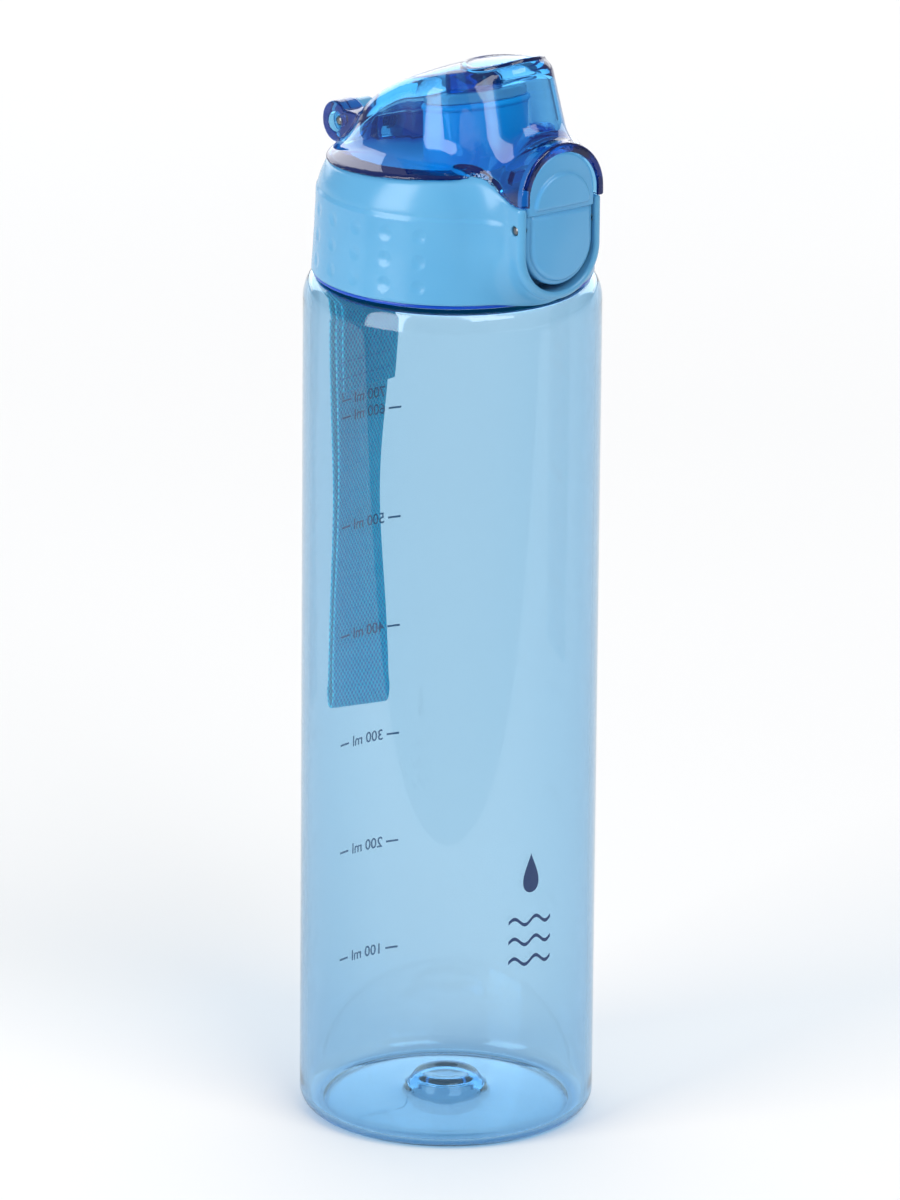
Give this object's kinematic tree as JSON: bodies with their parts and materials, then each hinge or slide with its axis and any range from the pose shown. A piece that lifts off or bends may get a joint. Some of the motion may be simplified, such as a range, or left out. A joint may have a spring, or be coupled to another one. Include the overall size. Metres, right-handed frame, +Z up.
{
  "type": "flip-top drinking bottle",
  "caption": "Clear 700 ml drinking bottle with a screw lid, push-button flip cover over a slanted spout, and a webbing carry strap.",
  "frame": {"origin": "on the bottle's axis, in the plane that it stands on", "axes": "+Z up along the bottle, -Y to the front (latch button), +Y to the back (hinge and strap), +X to the bottle's left"},
  "size_m": [0.071, 0.0822, 0.2679],
  "materials": {
    "clear_body": "clear, light-blue tinted plastic, high gloss",
    "cap_plastic": "deep blue, gloss",
    "collar_plastic": "light blue, satin gloss",
    "cover_clear": "clear, deep-blue tinted plastic, high gloss",
    "button_plastic": "light blue, satin gloss",
    "silicone": "translucent silicone, satin",
    "steel": "turned steel",
    "webbing": "turquoise woven polypropylene webbing",
    "thread": "sewing thread"
  },
  "bodies": {
    "bottle": {"bottle_body": "clear_body"},
    "lid_lift": {"neck_gasket": "silicone"},
    "lid": {"screw_cap": "cap_plastic", "collar_shell": "collar_plastic", "hinge_pin": "steel", "hinge_spring": "steel", "latch_pin": "steel", "latch_spring": "steel"},
    "cover": {"flip_cover": "cover_clear", "spout_seal": "silicone"},
    "button": {"latch_button": "button_plastic"},
    "strap": {"carry_strap": "webbing", "strap_stitching": "thread"}
  },
  "joints": [
    {"name": "lid_lift", "type": "slide", "parent": "bottle", "child": "lid_lift", "axis": [0, 0, 1], "range_m": [0, 0.0075]},
    {"name": "lid_turn", "type": "hinge", "parent": "lid_lift", "child": "lid", "pos_m": [0, 0, 0.22], "axis": [0, 0, 1], "range_deg": [0, 540]},
    {"name": "cover_hinge", "type": "hinge", "parent": "lid", "child": "cover", "pos_m": [0, 0.028, 0.242], "axis": [1, 0, 0], "range_deg": [-130, 0]},
    {"name": "button_press", "type": "hinge", "parent": "lid", "child": "button", "pos_m": [0, -0.0386, 0.2298], "axis": [1, 0, 0], "range_deg": [0, 7], "stiffness_Nm_per_rad": 0.2, "springref_deg": -5.73, "deforming": ["latch_spring"]},
    {"name": "strap_swing", "type": "hinge", "parent": "lid", "child": "strap", "pos_m": [0, 0.038, 0.221], "axis": [1, 0, 0], "range_deg": [0, 100]}
  ],
  "couplings": [
    {"joint": "lid_turn", "follows": "lid_lift", "rad_per_m": 1256.6}
  ]
}
